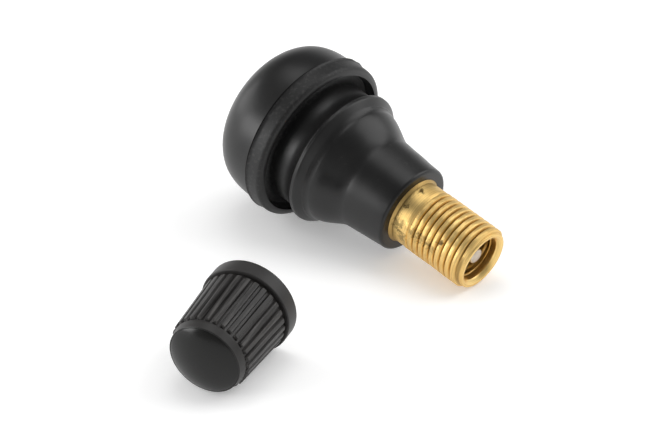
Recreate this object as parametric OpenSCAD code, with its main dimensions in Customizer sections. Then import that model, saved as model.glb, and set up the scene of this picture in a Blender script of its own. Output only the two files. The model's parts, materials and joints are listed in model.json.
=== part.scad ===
// Snap-in tyre valve: a rubber body moulded round a brass stem, a screw-in valve core with a sprung
// pin, and a plastic dust cap that has been taken off.
// The valve lies on its side as it comes to rest, on the head's rim and the end of the thread, and the
// cap lies beside it. Stations are distances along the valve's axis from the stem's mouth towards the
// head, or along the cap's axis from its open end towards its dome. All lengths are in millimetres.

/* [Rubber body] */
// Length of the whole valve, from the stem's mouth to the base of the head
valve_l = 35.3; // [33:0.1:42]
// Station where the rubber ends, which is the length of bare stem
tail_at = 10.5; // [9.5:0.1:12]
// Diameter of the rubber at its end
tail_d = 10.6; // [9.6:0.1:11]
// Radius of the rubber's rounded end
tail_round = 0.4; // [0.2:0.05:0.6]
// Station of the waist, where the rubber starts to widen
waist_at = 15.9; // [14:0.1:17]
// Diameter at the waist
waist_d = 11.5; // [11:0.1:12.2]
// Diameter of the shoulder in front of the lip
shoulder_d = 14.8; // [14:0.1:15.6]
// Station of the crest of the lip that holds the valve in the rim's hole
lip_at = 21.6; // [20.8:0.1:22]
// Length of the slope in front of the lip
lip_front = 1.2; // [0.8:0.1:1.6]
// Diameter of the lip
lip_d = 16.8; // [16.4:0.1:17.6]
// Length of the slope behind the lip
lip_back = 1.2; // [0.8:0.1:1.4]
// Diameter of the neck that fills the rim's hole
neck_d = 15.4; // [14:0.1:15.8]
// Length of the straight neck between the lip and the head's fillet
neck_l = 0.6; // [0.2:0.1:0.8]
// Station of the head's front rim
head_at = 25.1; // [24.2:0.1:25.6]
// Diameter of the head's front rim
head_rim_d = 19.9; // [19:0.1:20]
// Rounding of the head's front rim
head_rim_round = 0.6; // [0.4:0.05:1]
// Diameter of the recess in the head's front
dish_d = 18.1; // [17:0.1:18.2]
// Depth of the recess behind the head's rim
dish_depth = 0.7; // [0.4:0.1:1]
// Slope of the recess's wall, on the radius
dish_wall = 0.25; // [0.1:0.05:0.4]
// Station of the moulding's parting line
parting_at = 27.2; // [26.8:0.1:28]
// Diameter over the parting line's flash
parting_d = 20.4; // [20.2:0.1:21]
// Height and half width of the flash
flash = 0.2; // [0.1:0.05:0.3]
// Diameter of the domed head behind the parting line
dome_d = 19.6; // [18:0.1:19.8]
// Squareness of the dome, where 2 is an ellipse
dome_power = 3.5; // [2:0.1:5]
// Diameter of the air hole in the base
air_hole_d = 3.6; // [2.6:0.1:4.4]

/* [Stem] */
// Outer diameter of the stem's thread
thread_d = 7.7; // [7.5:0.05:7.9]
// Station where the thread ends
thread_l = 8.6; // [7.5:0.1:9]
// Distance from one turn of the thread to the next
thread_pitch = 0.794; // [0.75:0.001:0.85]
// Depth of the thread
thread_depth = 0.35; // [0.25:0.01:0.45]
// Width of the thread's crest
thread_crest = 0.36; // [0.25:0.01:0.45]
// Outer chamfer at the mouth
mouth_chamfer = 0.45; // [0.2:0.05:0.6]
// Diameter of the smooth band behind the thread
band_d = 7.6; // [7.2:0.05:7.7]
// Diameter of the flared collar at the rubber's end
collar_d = 8.1; // [7.9:0.1:8.6]
// Width of the collar's flare
collar_w = 0.3; // [0.2:0.1:0.6]
// Diameter of the stem inside the rubber
shank_d = 7.2; // [6.9:0.1:7.3]
// Number of grooves that key the stem into the rubber
key_grooves = 3; // [1:1:4]
// Station of the first key groove
key_at = 13; // [12:0.1:14]
// Distance from one key groove to the next
key_pitch = 2.6; // [2.2:0.1:3]
// Width of a key groove
key_w = 1.2; // [0.8:0.1:1.4]
// Depth of a key groove
key_depth = 0.5; // [0.3:0.05:0.6]
// Station of the stem's inner end
stem_end_at = 27; // [26:0.1:28]
// Diameter of the foot at the stem's inner end
foot_d = 10.4; // [9:0.1:11]
// Length of the foot
foot_l = 1.4; // [1:0.1:2]
// Gap of the bond between rubber and brass
bond = 0.02; // [0.01:0.01:0.03]

/* [Core chamber] */
// Diameter of the threaded bore for the core
bore_d = 5.34; // [5.2:0.02:5.4]
// Inner chamfer at the mouth
bore_chamfer = 0.45; // [0.2:0.05:0.45]
// Station where the threaded bore ends
bore_l = 8.2; // [8:0.1:8.6]
// Diameter of the chamber in front of the seat
chamber_d = 4.4; // [4.3:0.05:4.6]
// Station of the tapered seat
seat_at = 9.2; // [9.1:0.1:9.5]
// Length of the tapered seat
seat_l = 1.4; // [1.2:0.1:1.8]
// Diameter of the throat behind the seat
throat_d = 3.8; // [3.7:0.05:3.9]
// Station where the throat ends
throat_end_at = 22; // [21:0.1:24]
// Diameter of the stem's inner bore
exit_d = 3.2; // [2.6:0.1:3.4]

/* [Valve core] */
// Station of the pin's tip below the mouth
pin_tip_at = 0.9; // [0.5:0.05:1.1]
// Diameter of the pin
pin_d = 1; // [0.9:0.05:1.1]
// Diameter of the pin's head
pin_head_d = 1.8; // [1.5:0.1:2]
// Length of the pin's head
pin_head_l = 0.6; // [0.4:0.05:0.7]
// How far the pin is pressed in to open the valve
pin_travel = 1.3; // [0.8:0.1:1.3]
// Gap that is left over the plug when the pin is pressed in
press_gap = 0.25; // [0.15:0.05:0.35]
// Length of the bridge at the plug's top
bridge_l = 1.6; // [1.2:0.1:1.8]
// Width of the bridge that the core tool holds
bridge_w = 2.4; // [2.2:0.1:2.8]
// Length of the plug with its bridge
plug_l = 4.4; // [4.2:0.1:4.6]
// Running clearance of the plug in the threaded bore, on the radius
plug_clear = 0.07; // [0.04:0.01:0.1]
// Clearance of the pin in its holes, on the radius
pin_clear = 0.25; // [0.15:0.05:0.3]
// Diameter of the swivel's head in the plug
swivel_head_d = 3.5; // [3.3:0.1:3.6]
// Length of the swivel's head
swivel_head_l = 0.7; // [0.5:0.1:0.8]
// Diameter of the swivel's neck
swivel_neck_d = 2.6; // [2.5:0.1:2.8]
// Clearance of the swivel in the plug
swivel_clear = 0.1; // [0.05:0.01:0.12]
// Thickness of the plug's lip under the swivel's head
swivel_lip = 1.3; // [1:0.1:1.5]
// Diameter of the barrel's shoulder over the gasket
shoulder_ring_d = 3.9; // [3.7:0.1:4.1]
// Length of the barrel's shoulder over the gasket
shoulder_ring_l = 1.3; // [1.1:0.1:1.4]
// Diameter of the barrel under the gasket
gasket_seat_d = 3; // [2.9:0.05:3.1]
// Length of the gasket
gasket_l = 1.5; // [1.3:0.1:1.6]
// Clearance of the gasket on the tapered seat and on the barrel
gasket_clear = 0.02; // [0.01:0.01:0.04]
// Diameter of the barrel below the gasket
barrel_d = 3.4; // [3.3:0.05:3.5]
// Station of the barrel's lower end, which the plunger closes
barrel_end_at = 16.2; // [15.6:0.1:17]
// Diameter of the spring's chamber in the barrel
spring_bore_d = 2.4; // [2.3:0.05:2.5]
// Thickness of the ledge under the spring
ledge_l = 0.8; // [0.6:0.1:1]
// Diameter of the collar on the pin
pin_collar_d = 2.16; // [2:0.02:2.2]
// Length of the collar on the pin
pin_collar_l = 0.5; // [0.4:0.1:0.7]
// Gap over the collar at rest
collar_gap = 0.5; // [0.3:0.1:0.7]
// Diameter of the spring's wire
wire_d = 0.24; // [0.2:0.02:0.28]
// Mean diameter of the spring
spring_d = 1.76; // [1.7:0.02:1.8]
// Number of turns in the spring
spring_turns = 8; // [5:1:10]
// Gap at each end of the spring
spring_gap = 0.02; // [0.01:0.01:0.05]
// Diameter of the plunger's rubber seal
seal_d = 3; // [2.8:0.05:3.04]
// Thickness of the plunger's rubber seal
seal_l = 1.1; // [0.8:0.1:1.3]
// Gap between the seal and the barrel's end at rest
seal_gap = 0.04; // [0.02:0.01:0.08]
// Diameter of the plunger's cup
cup_d = 3.4; // [3.3:0.05:3.5]
// Thickness of the cup's floor
cup_floor = 0.5; // [0.4:0.05:0.7]
// How far the seal stands out of the cup
seal_proud = 0.3; // [0.2:0.05:0.4]
// Clearance of the seal in its cup and on the pin
seal_clear = 0.02; // [0.01:0.01:0.04]
// Diameter of the riveted end of the pin
rivet_d = 1.7; // [1.5:0.1:1.9]
// Length of the riveted end of the pin
rivet_l = 0.4; // [0.3:0.05:0.6]

/* [Dust cap] */
// Length of the cap
cap_l = 11.7; // [11.2:0.1:13]
// Diameter of the flange at the cap's open end
cap_flange_d = 10.3; // [10.2:0.1:11]
// Width of the flange
cap_flange_w = 1.9; // [1.4:0.1:2.4]
// Rounding of the flange's edges
cap_flange_round = 0.15; // [0.1:0.01:0.18]
// Width of the groove between the flange and the ribs
start_groove_w = 0.3; // [0.2:0.05:0.5]
// Diameter over the ribs beside the flange
rib_d = 9.8; // [9.6:0.05:9.8]
// Diameter over the ribs at the dome's end
rib_end_d = 8.8; // [8.6:0.1:9.2]
// Station where the ribs end
rib_end_at = 9.7; // [9:0.1:10]
// Width of the groove between the ribs and the smooth ring
end_groove_w = 0.25; // [0.15:0.05:0.4]
// Number of ribs
ribs = 30; // [20:1:32]
// Width of a rib beside the flange
rib_w = 0.62; // [0.5:0.02:0.7]
// Height of a rib
rib_h = 0.34; // [0.24:0.02:0.36]
// Diameter of the smooth ring next to the groove
cap_ring_d = 8.6; // [8.4:0.1:8.7]
// Diameter of the crease round the dome
crease_d = 8; // [7.4:0.1:8.2]
// Station of the crease
crease_at = 10.75; // [10.4:0.05:11]
// Width of the step inside the crease
crease_step = 0.12; // [0.06:0.01:0.2]
// Diameter of the threaded bore in the cap
cap_bore_d = 7.8; // [7.75:0.05:7.9]
// Depth of the cap's bore
cap_bore_l = 8.6; // [8:0.1:9]
// Chamfer at the cap's mouth
cap_mouth_chamfer = 0.4; // [0.2:0.05:0.5]

/* [Where the cap lies] */
// Cap's open end from the stem's mouth, along the valve
cap_x = -10.8; // [-16:0.1:-6]
// Cap's open end from the stem's mouth, across the valve
cap_y = -24.8; // [-34:0.1:-22]
// Heading of the cap's dome in plan, in degrees
cap_turn = 287.3; // [260:0.1:310]

/* [Hidden] */
$fn = 96;
eps = 0.05;
curve_steps = 16;
corner_steps = 5;
wire_sides = 8;
steps_per_turn = 12;

// Stations along the valve core, from the plug at the top to the rivet at the bottom
plug_at = pin_tip_at + pin_head_l + pin_travel + press_gap;
bridge_end_at = plug_at + bridge_l;
plug_end_at = plug_at + plug_l;
plug_r = bore_d / 2 - plug_clear;
pin_hole_r = pin_d / 2 + pin_clear;
swivel_lip_at = plug_end_at - swivel_lip;
swivel_head_at = swivel_lip_at - swivel_clear - swivel_head_l;
shoulder_ring_at = plug_end_at + swivel_clear;
gasket_at = shoulder_ring_at + shoulder_ring_l;
gasket_end_at = gasket_at + gasket_l;
spring_bore_at = gasket_at - collar_gap;
pin_collar_at = spring_bore_at + collar_gap;
ledge_at = barrel_end_at - ledge_l;
spring_at = pin_collar_at + pin_collar_l + spring_gap;
spring_end_at = ledge_at - spring_gap;
seal_at = barrel_end_at + seal_gap;
cup_floor_at = seal_at + seal_l;
cup_end_at = cup_floor_at + cup_floor;
rivet_end_at = cup_end_at + rivet_l;

// Stations on the rubber body and the stem
shoulder_at = lip_at - lip_front;
fillet_at = lip_at + lip_back + neck_l;
dish_floor_at = head_at + dish_depth;
dish_floor_r = dish_d / 2 - dish_wall;
dome_at = parting_at + flash;
foot_at = stem_end_at - foot_l;
foot_flare_at = foot_at - (foot_d - shank_d) / 2;
shank_at = tail_at + collar_w;
thread_at = mouth_chamfer + thread_crest / 2;
thread_turns = floor((thread_l - thread_at) / thread_pitch);

// The cap rests on its flange and on the ribs' end
cap_ring_at = rib_end_at + end_groove_w;
cap_foot_at = cap_flange_w - cap_flange_round;
cap_tilt = atan((cap_flange_d - rib_end_d) / 2 / (rib_end_at - cap_foot_at));
cap_mouth_z = cap_flange_d / 2 * cos(cap_tilt) + cap_foot_at * sin(cap_tilt);

// Smooth step from 0 to 1
function ease(x) = x * x * (3 - 2 * x);
// Radius of the tapered seat at a station
function seat_r(at) = (chamber_d - (chamber_d - throat_d) * (at - seat_at) / seat_l) / 2;
// Quarter of an ellipse from one station and radius to another, flat side first
function corner(at, r, along, out) = [for (i = [0:corner_steps])
    let (a = 90 * i / corner_steps) [at + along * (1 - cos(a)), r + out * sin(a)]];

// Outside of the rubber as stations and radii, from its end on the stem to the air hole in the base
rubber_outline = concat(
    corner(tail_at, tail_d / 2 - tail_round, tail_round, tail_round),
    [for (i = [0:curve_steps - 1]) let (x = i / curve_steps)
        [waist_at + (shoulder_at - waist_at) * x, (waist_d + (shoulder_d - waist_d) * ease(x)) / 2]],
    [for (i = [0:corner_steps]) let (x = i / corner_steps)
        [shoulder_at + lip_front * x, (shoulder_d + (lip_d - shoulder_d) * x * x) / 2]],
    [for (i = [1:corner_steps]) let (x = i / corner_steps)
        [lip_at + lip_back * x, (lip_d - (lip_d - neck_d) * ease(x)) / 2]],
    [for (i = [0:curve_steps / 2]) let (a = 180 * i / curve_steps)
        [fillet_at + (dish_floor_at - fillet_at) * sin(a), neck_d / 2 + (dish_floor_r - neck_d / 2) * (1 - cos(a))]],
    corner(head_at, dish_d / 2, head_rim_round, (head_rim_d - dish_d) / 2),
    [[parting_at - flash, parting_d / 2 - flash], [parting_at, parting_d / 2]],
    [for (i = [0:curve_steps])
        let (a = acos(air_hole_d / dome_d) * i / curve_steps)
        [dome_at + (valve_l - dome_at) * pow(sin(a), 2 / dome_power), dome_d / 2 * cos(a)]]);

// The valve rests on the first crest of the thread and on the part of the head that reaches the floor first
valve_tilt = max([for (p = rubber_outline) if (p[0] > lip_at)
    atan((p[1] - thread_d / 2) / (p[0] - mouth_chamfer))]);
mouth_z = thread_d / 2 * cos(valve_tilt) - mouth_chamfer * sin(valve_tilt);

// Thread of the stem as rings, of which the last is shallow where the thread runs out
thread_outline = [for (i = [0:thread_turns - 1], p = [[0, 0], [0.5, min(1, (thread_turns - i) / 2)], [1, 0]])
    [thread_at + i * thread_pitch + p[0] * (thread_pitch - thread_crest), thread_d / 2 - p[1] * thread_depth]];

// Outside of the stem inside the rubber, from the collar to the foot
buried_outline = concat(
    [[tail_at, collar_d / 2], [shank_at, collar_d / 2], [shank_at, shank_d / 2]],
    [for (i = [0:key_grooves - 1], p = [[0, 0], [0, key_depth], [key_w, key_depth], [key_w, 0]])
        [key_at + i * key_pitch + p[0], shank_d / 2 - p[1]]],
    [[foot_flare_at, shank_d / 2], [foot_at, foot_d / 2], [stem_end_at, foot_d / 2]]);

// Bore of the stem, from its mouth to its inner end
bore_outline = [
    [0, bore_d / 2 + bore_chamfer], [bore_chamfer, bore_d / 2], [bore_l, bore_d / 2],
    [bore_l + (bore_d - chamber_d) / 2, chamber_d / 2], [seat_at, chamber_d / 2],
    [seat_at + seat_l, throat_d / 2], [throat_end_at, throat_d / 2],
    [throat_end_at + (throat_d - exit_d) / 2, exit_d / 2], [stem_end_at, exit_d / 2]];

// Outside of the cap as stations and radii, without its ribs
cap_outline = concat(
    [[0, cap_flange_d / 2 - cap_flange_round], [cap_flange_round, cap_flange_d / 2],
        [cap_foot_at, cap_flange_d / 2], [cap_flange_w, cap_flange_d / 2 - cap_flange_round],
        [cap_flange_w, rib_d / 2 - rib_h], [cap_ring_at, rib_end_d / 2 - rib_h],
        [cap_ring_at, cap_ring_d / 2], [crease_at, crease_d / 2]],
    [for (i = [0:curve_steps]) let (a = 90 * i / curve_steps)
        [crease_at + (cap_l - crease_at) * sin(a), (crease_d / 2 - crease_step) * cos(a)]]);

// Reach of each lying piece from the stem's mouth in plan, which sets the origin at the middle of the box
stem_tip_outline = [[0, thread_d / 2 - mouth_chamfer], [mouth_chamfer, thread_d / 2]];
x_back = min([for (p = rubber_outline) -p[0] * cos(valve_tilt) - p[1] * sin(valve_tilt)]);
x_front = max([for (p = stem_tip_outline) p[1] * sin(valve_tilt) - p[0] * cos(valve_tilt)]);
cap_dir = [cos(cap_turn) * cos(cap_tilt), sin(cap_turn) * cos(cap_tilt)];
y_front = min([for (p = cap_outline) cap_y + p[0] * cap_dir[1] - p[1] * sqrt(1 - cap_dir[1] * cap_dir[1])]);
y_back = parting_d / 2;
mouth_x = -(x_back + x_front) / 2;
mouth_y = -(y_front + y_back) / 2;

// Turns stations and radii into a profile that runs down from the top
function profile(points) = [for (p = points) [p[1], -p[0]]];
function flip(points) = [for (i = [len(points) - 1:-1:0]) points[i]];
function grown(points, gap) = [for (p = points) [p[0], p[1] + gap]];

// Point on the ring of a coiled wire, turned by t degrees round the coil and a degrees round the wire
function coil_point(t, a, top, rise) =
    let (r = spring_d / 2 + wire_d / 2 * cos(a), z = top - rise * t / 360 + wire_d / 2 * sin(a))
    [r * cos(t), r * sin(t), z];

module turned(points) {
    rotate_extrude() polygon(profile(points));
}

// A plain round length between two stations
module round_length(from, to, d) {
    translate([0, 0, -to]) cylinder(h = to - from, d = d);
}

// Puts a piece that is modelled along the valve's axis where the valve lies
module valve_place() {
    translate([mouth_x, mouth_y, mouth_z]) rotate([0, 90 + valve_tilt, 0]) children();
}

// Puts a piece that is modelled along the cap's axis where the cap lies
module cap_place() {
    translate([mouth_x + cap_x, mouth_y + cap_y, cap_mouth_z])
        rotate([0, 0, cap_turn]) rotate([0, cap_tilt - 90, 0]) children();
}

module rubber_body() {
    cavity = concat([[valve_l, air_hole_d / 2], [stem_end_at, air_hole_d / 2]], flip(grown(buried_outline, bond)));
    color("#2b2c2e") valve_place() difference() {
        turned(concat([[tail_at, 0]], rubber_outline, [[rubber_outline[len(rubber_outline) - 1][0], 0]]));
        turned(concat([[valve_l + eps, 0], [valve_l + eps, air_hole_d / 2]], cavity,
            [[tail_at - eps, collar_d / 2 + bond], [tail_at - eps, 0]]));
    }
}

module stem() {
    runout = (thread_d - band_d) / 2;
    outside = concat(
        stem_tip_outline,
        thread_outline,
        [[thread_l, thread_d / 2], [thread_l + runout, band_d / 2], [tail_at - collar_w, band_d / 2]],
        buried_outline);
    color("#c9a659") valve_place() turned(concat(outside, flip(bore_outline)));
}

module core_plug() {
    color("#b9a06a") valve_place() difference() {
        union() {
            round_length(bridge_end_at, plug_end_at, 2 * plug_r);
            intersection() {
                round_length(plug_at, bridge_end_at + eps, 2 * plug_r);
                translate([-plug_r, -bridge_w / 2, -bridge_end_at - eps])
                    cube([2 * plug_r, bridge_w, bridge_l + 2 * eps]);
            }
        }
        round_length(plug_at - eps, plug_end_at, 2 * pin_hole_r);
        round_length(swivel_head_at - swivel_clear, swivel_lip_at, swivel_head_d + 2 * swivel_clear);
        round_length(swivel_lip_at - eps, plug_end_at + eps, swivel_neck_d + 2 * swivel_clear);
    }
}

module core_barrel() {
    outside = [
        [swivel_head_at, swivel_head_d / 2], [swivel_head_at + swivel_head_l, swivel_head_d / 2],
        [swivel_head_at + swivel_head_l, swivel_neck_d / 2], [shoulder_ring_at, swivel_neck_d / 2],
        [shoulder_ring_at, shoulder_ring_d / 2], [gasket_at, shoulder_ring_d / 2],
        [gasket_at, gasket_seat_d / 2], [gasket_end_at, gasket_seat_d / 2],
        [gasket_end_at, barrel_d / 2], [barrel_end_at, barrel_d / 2]];
    inside = [
        [barrel_end_at, pin_hole_r], [ledge_at, pin_hole_r], [ledge_at, spring_bore_d / 2],
        [spring_bore_at, spring_bore_d / 2], [spring_bore_at, pin_hole_r], [swivel_head_at, pin_hole_r]];
    color("#c2a25e") valve_place() turned(concat(outside, inside));
}

module barrel_gasket() {
    inner_r = gasket_seat_d / 2 + gasket_clear;
    color("#9c2f26") valve_place() turned([
        [gasket_at, inner_r], [gasket_at, chamber_d / 2 - gasket_clear], [seat_at, chamber_d / 2 - gasket_clear],
        [gasket_end_at, seat_r(gasket_end_at) - gasket_clear], [gasket_end_at, inner_r]]);
}

module core_pin() {
    color("#c9c2bb") valve_place() turned([
        [pin_tip_at, 0], [pin_tip_at, pin_d / 2], [pin_tip_at + pin_head_l / 3, pin_head_d / 2],
        [pin_tip_at + pin_head_l, pin_head_d / 2], [pin_tip_at + pin_head_l, pin_d / 2],
        [cup_end_at, pin_d / 2], [cup_end_at, rivet_d / 2], [rivet_end_at, pin_d / 2], [rivet_end_at, 0]]);
}

module pin_collar() {
    inner_r = pin_d / 2 + seal_clear;
    color("#b79c5a") valve_place() turned([
        [pin_collar_at, inner_r], [pin_collar_at, pin_collar_d / 2],
        [pin_collar_at + pin_collar_l, pin_collar_d / 2], [pin_collar_at + pin_collar_l, inner_r]]);
}

module return_spring() {
    rings = spring_turns * steps_per_turn;
    top = -spring_at - wire_d / 2;
    rise = (spring_end_at - spring_at - wire_d) / spring_turns;
    points = [for (i = [0:rings], k = [0:wire_sides - 1])
        coil_point(360 * i / steps_per_turn, 360 * k / wire_sides, top, rise)];
    sides = [for (i = [0:rings - 1], k = [0:wire_sides - 1])
        let (a = i * wire_sides + k, b = i * wire_sides + (k + 1) % wire_sides)
        [a, b, b + wire_sides, a + wire_sides]];
    first = [for (k = [wire_sides - 1:-1:0]) k];
    last = [for (k = [0:wire_sides - 1]) rings * wire_sides + k];
    color("#d0d2d4") valve_place() polyhedron(points, concat(sides, [first, last]));
}

module plunger_cup() {
    hole_r = pin_d / 2 + seal_clear;
    wall_r = seal_d / 2 + seal_clear;
    color("#c2a25e") valve_place() turned([
        [seal_at + seal_proud, wall_r], [seal_at + seal_proud, cup_d / 2], [cup_end_at, cup_d / 2],
        [cup_end_at, hole_r], [cup_floor_at, hole_r], [cup_floor_at, wall_r]]);
}

module plunger_seal() {
    hole_r = pin_d / 2 + seal_clear;
    color("#1d1d1f") valve_place() turned([
        [seal_at, hole_r], [seal_at, seal_d / 2], [cup_floor_at, seal_d / 2], [cup_floor_at, hole_r]]);
}

module dust_cap() {
    color("#3a3b3d") cap_place() difference() {
        union() {
            turned(concat([[0, 0]], cap_outline));
            for (i = [0:ribs - 1]) rotate([0, 0, 360 * i / ribs]) cap_rib();
        }
        round_length(-eps, cap_bore_l, cap_bore_d);
        turned([[-eps, 0], [-eps, cap_bore_d / 2 + cap_mouth_chamfer + eps],
            [cap_mouth_chamfer, cap_bore_d / 2], [cap_mouth_chamfer, 0]]);
    }
}

// One straight rib that narrows with the cap's taper, with its foot sunk into the wall
module cap_rib() {
    rib_angle = rib_w / (rib_d / 2) * 180 / PI;
    rib_at = cap_flange_w + start_groove_w;
    foot = 2 * rib_h;
    rotate([0, 0, -rib_angle / 2]) rotate_extrude(angle = rib_angle) polygon(profile([
        [rib_at, rib_d / 2 - foot], [rib_at, rib_d / 2],
        [rib_end_at, rib_end_d / 2], [rib_end_at, rib_end_d / 2 - foot]]));
}

rubber_body();
stem();
core_plug();
core_barrel();
barrel_gasket();
core_pin();
pin_collar();
return_spring();
plunger_cup();
plunger_seal();
dust_cap();
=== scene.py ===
"""Looks of a rubber snap-in tyre valve that lies beside its dust cap: turned, threaded and moulded pieces,
their finishes, a pale floor and soft studio light. Stations are distances in millimetres along a piece's
axis, from the stem's mouth towards the head, or from the cap's open end towards its dome."""

import json
import math

import bpy
from mathutils import Matrix, Vector, noise


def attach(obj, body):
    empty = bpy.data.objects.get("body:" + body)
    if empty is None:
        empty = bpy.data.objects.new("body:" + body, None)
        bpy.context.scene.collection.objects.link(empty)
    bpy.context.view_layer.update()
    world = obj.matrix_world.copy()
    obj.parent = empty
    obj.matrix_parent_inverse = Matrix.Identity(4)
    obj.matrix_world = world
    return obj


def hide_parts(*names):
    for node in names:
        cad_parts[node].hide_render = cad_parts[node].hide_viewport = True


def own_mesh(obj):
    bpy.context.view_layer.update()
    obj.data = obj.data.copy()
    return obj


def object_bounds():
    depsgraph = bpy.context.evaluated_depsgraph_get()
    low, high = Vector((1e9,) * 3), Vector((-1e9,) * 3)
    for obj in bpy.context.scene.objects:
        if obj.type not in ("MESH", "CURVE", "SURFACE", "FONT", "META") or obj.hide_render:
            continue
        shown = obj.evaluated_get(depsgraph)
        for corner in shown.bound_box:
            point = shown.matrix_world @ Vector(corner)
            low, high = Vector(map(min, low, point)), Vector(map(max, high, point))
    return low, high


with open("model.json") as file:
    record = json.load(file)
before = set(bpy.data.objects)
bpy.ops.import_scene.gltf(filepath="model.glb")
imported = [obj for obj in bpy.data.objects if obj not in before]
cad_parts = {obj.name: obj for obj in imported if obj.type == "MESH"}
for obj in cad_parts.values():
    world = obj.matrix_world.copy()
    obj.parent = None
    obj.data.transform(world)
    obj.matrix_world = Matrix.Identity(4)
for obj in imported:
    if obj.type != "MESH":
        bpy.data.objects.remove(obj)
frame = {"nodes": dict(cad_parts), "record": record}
cad_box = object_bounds()

MM = 0.001
TURN = 2 * math.pi
MERGE = 0.0001 * MM

# Slack in millimetres: points that are one, points on the axis, and points on a wall of a known radius
SAME_POINT, ON_AXIS, SAME_WALL = 1e-5, 1e-6, 0.01

record = frame["record"]
mounts = {mount["name"]: mount for mount in record["mounts"]}

# Sizes of the rubber body
VALVE_L = 35.3
TAIL_AT, TAIL_R, TAIL_ROUND = 10.5, 5.3, 0.4
WAIST_AT, WAIST_R = 15.9, 5.75
SHOULDER_R = 7.4
LIP_AT, LIP_FRONT, LIP_CORNER_R, LIP_BACK, LIP_ROUND = 21.6, 1.2, 8.55, 2.0, 0.5
NECK_R, FILLET_AT = 7.7, 25.5
HEAD_AT, HEAD_RIM_R, HEAD_RIM_ROUND = 25.1, 9.95, 0.6
DISH_R, DISH_DEPTH, DISH_WALL = 9.05, 1.2, 0.25
PARTING_AT, PARTING_R, FLASH = 27.2, 10.2, 0.2
DOME_R, DOME_POWER = 9.8, 3.5
CREASE_W, CREASE_DEPTH = 0.16, 0.14
AIR_HOLE_R = 1.8

# Unevenness of the moulded skin
SKIN_WAVE, RIPPLE_DRIFT = 0.02, 0.7
FLASH_RAG, LIP_RAG, LIP_RAG_W = 0.07, 0.05, 0.15
SEAM_AT, SEAM_W, SEAM_H, SEAM_SHARE = 20.52, 0.09, 0.1, 0.25

# Sizes of the stem
THREAD_R, THREAD_ROOT_R, THREAD_L, THREAD_PITCH, THREAD_CREST = 3.85, 3.5, 8.6, 0.794, 0.48
MOUTH_CHAMFER, EDGE = 0.45, 0.05
RUNOUT_L, RIDGE_SUNK, RIDGE_FROM, RIDGE_FILL, CREST_WEAR = 1.3, 0.06, 0.42, 0.99, 0.07
RISE_PER_TURN, FALL_PER_TURN = 4, 3
BAND_R = 3.8
COLLAR_R, COLLAR_W = 4.05, 0.3
SHANK_R = 3.6
KEY_AT, KEY_PITCH, KEY_W, KEY_DEPTH, KEY_GROOVES = 13.0, 2.6, 1.2, 0.5, 3
STEM_END_AT, FOOT_R, FOOT_L = 27.0, 5.2, 1.4
BOND = 0.02
BORE_R, BORE_CHAMFER, BORE_L = 2.67, 0.45, 8.2
BORE_THREAD_R, BORE_PITCH, BORE_CREST, BORE_THREAD_FROM, BORE_THREAD_TO = 2.56, 0.706, 0.2, 1.2, 2.9
BORE_FINE_FROM, BORE_FINE_TO = 0.75, 3.0
CHAMBER_R, SEAT_AT, SEAT_L, THROAT_R = 2.2, 9.2, 1.4, 1.9
THROAT_END_AT, EXIT_R = 22.0, 1.6

# Sizes of the sprung pin
PIN_TIP_AT, PIN_R, PIN_HEAD_R, PIN_HEAD_L, PIN_ROUND = 0.9, 0.5, 0.9, 0.6, 0.22
PIN_END_AT, RIVET_R, RIVET_L = 17.84, 0.85, 0.4
SPRING_FROM, SPRING_TO = 9.37, 15.38
SPRING_R, WIRE_R, SPRING_TURNS = 0.88, 0.12, 8

# Sizes of the dust cap
CAP_L = 11.7
CAP_FLANGE_R, CAP_FLANGE_W, CAP_FLANGE_ROUND = 5.15, 1.9, 0.15
RIB_R, RIB_END_R, RIB_AT, RIB_END_AT, RIB_H, RIB_W, RIBS = 4.9, 4.415, 2.2, 9.45, 0.34, 0.62, 30
RIB_SOFT, RIB_EDGE, RIB_RINGS, RIB_END_SHARES = 0.1, 0.14, 20, (0.975, 0.987, 0.9935, 1.0)
END_GROOVE_W, CAP_RING_R, CAP_RING_ROUND = 0.14, 4.2, 0.1
CAP_EDGE_L, CAP_EDGE_R, CAP_EDGE_IN_R = 0.05, 4.02, 3.96
CAP_DOME_AT, CAP_DOME_R, CAP_DOME_BALL = 10.65, 3.88, 0.85
CAP_BORE_R, CAP_BORE_L, CAP_MOUTH_CHAMFER = 3.9, 8.6, 0.4
CAP_THREAD_R, CAP_THREAD_FROM, CAP_THREAD_TO, CAP_THREAD_FADE, CAP_THREAD_CREST = 3.55, 1.2, 7.8, 0.6, 0.25

# Stains on the brass: station, angle in degrees from the top, radius and strength
BRASS_STAINS = ((9.65, 11, 0.42, 0.9), (9.75, 48, 0.32, 0.8), (9.6, 84, 0.8, 0.55), (3.8, 65, 0.40, 0.9),
                (7.2, 80, 0.8, 0.5), (5.9, 78, 0.7, 0.55), (0.4, 70, 0.26, 0.9), (4.6, 84, 0.7, 0.45),
                (8.7, 102, 0.8, 0.5))

# Camera of the photograph, from the stem's mouth
VIEW_AZIMUTH, VIEW_ELEVATION, VIEW_DISTANCE, VIEW_LENS = 43.0, 29.9, 230.0, 105.7
VIEW_ALONG, VIEW_ACROSS = -22.1, -0.27

# White surroundings: glow of the floor near and far, light from all sides, and how dim the sides above and
# behind the camera are in what the object mirrors
FLOOR_GLOW, FAR_GLOW, GLOW_FROM, GLOW_TO = 0.24, 0.6, 0.07, 0.45
AMBIENT, DIM = 0.5, 0.2
ABOVE_FROM, ABOVE_TO = 0.08, 0.5
FRONT_FROM, FRONT_TO, FRONT_SHARE = 0.1, 0.6, 0.75

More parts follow.
